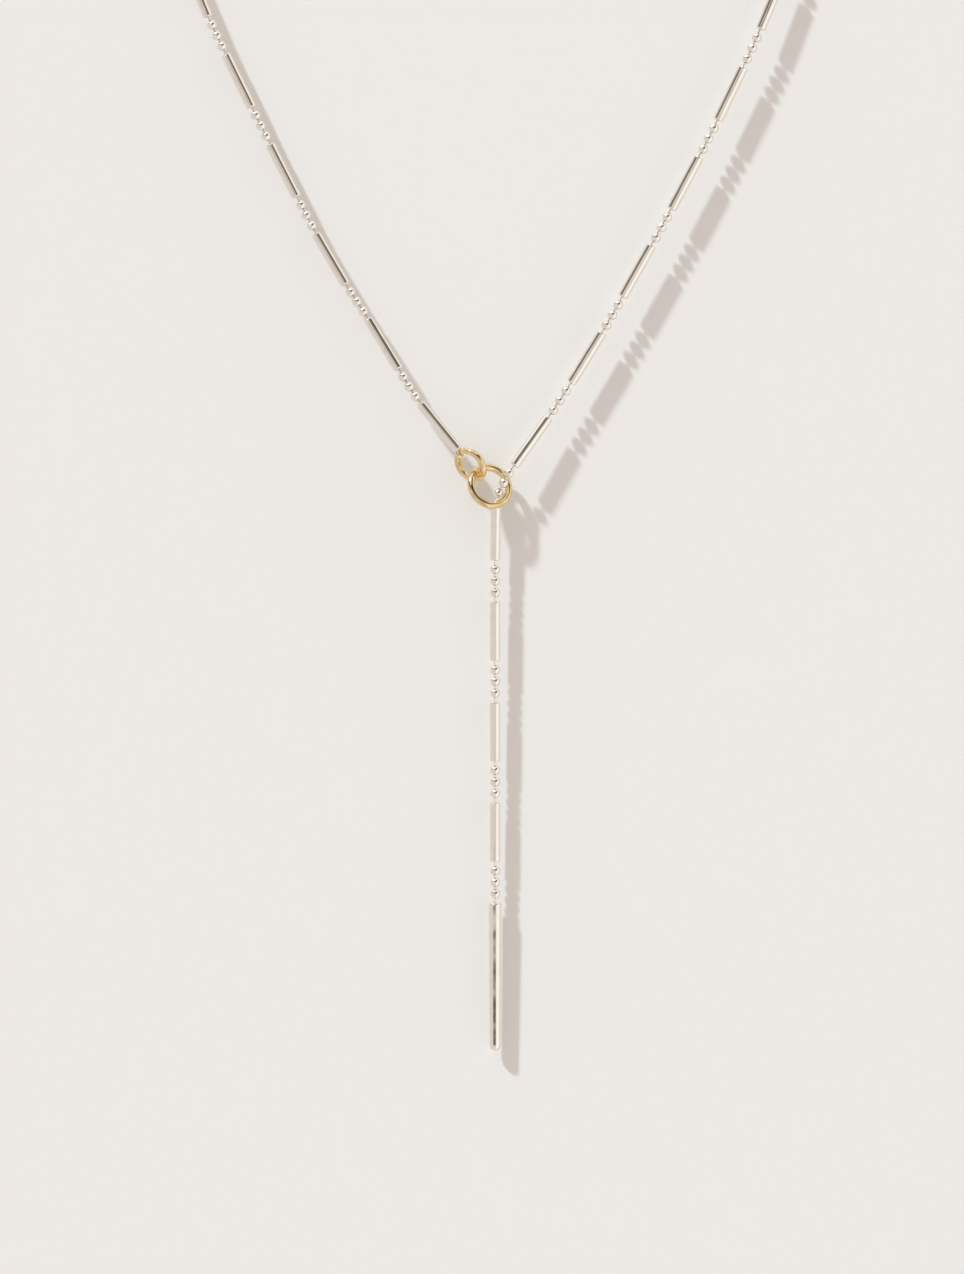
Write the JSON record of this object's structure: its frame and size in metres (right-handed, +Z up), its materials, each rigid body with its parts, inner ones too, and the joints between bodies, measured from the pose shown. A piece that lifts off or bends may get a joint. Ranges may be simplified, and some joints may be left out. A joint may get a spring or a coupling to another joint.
{
  "type": "lariat y necklace",
  "caption": "Lariat necklace of bar-and-ball chain: one end holds linked rings, the other passes through the larger ring and hangs as a drop that ends in a long round bar.",
  "frame": {"origin": "the middle of the chain where it lies on the nape of the neck", "axes": "+Z up as worn, +X to the right of someone who looks at the front, +Y from the front to the nape"},
  "size_m": [0.1128, 0.0939, 0.2411],
  "materials": {
    "silver": "polished sterling silver",
    "gold": "polished gold plate"
  },
  "bodies": {
    "necklace": {"neck_bars": "silver", "neck_balls": "silver", "end_bar": "silver", "small_ring": "gold", "large_ring": "gold", "drop_bars": "silver", "drop_balls": "silver", "chain_wire": "silver"},
    "pendant": {"pendant_bar": "silver"}
  },
  "joints": [
    {"name": "pendant_swing", "type": "hinge", "parent": "necklace", "child": "pendant", "pos_m": [0.00131, -0.08887, -0.21667], "axis": [0, 0.9999, 0.0113], "range_deg": [-20, 20]}
  ]
}
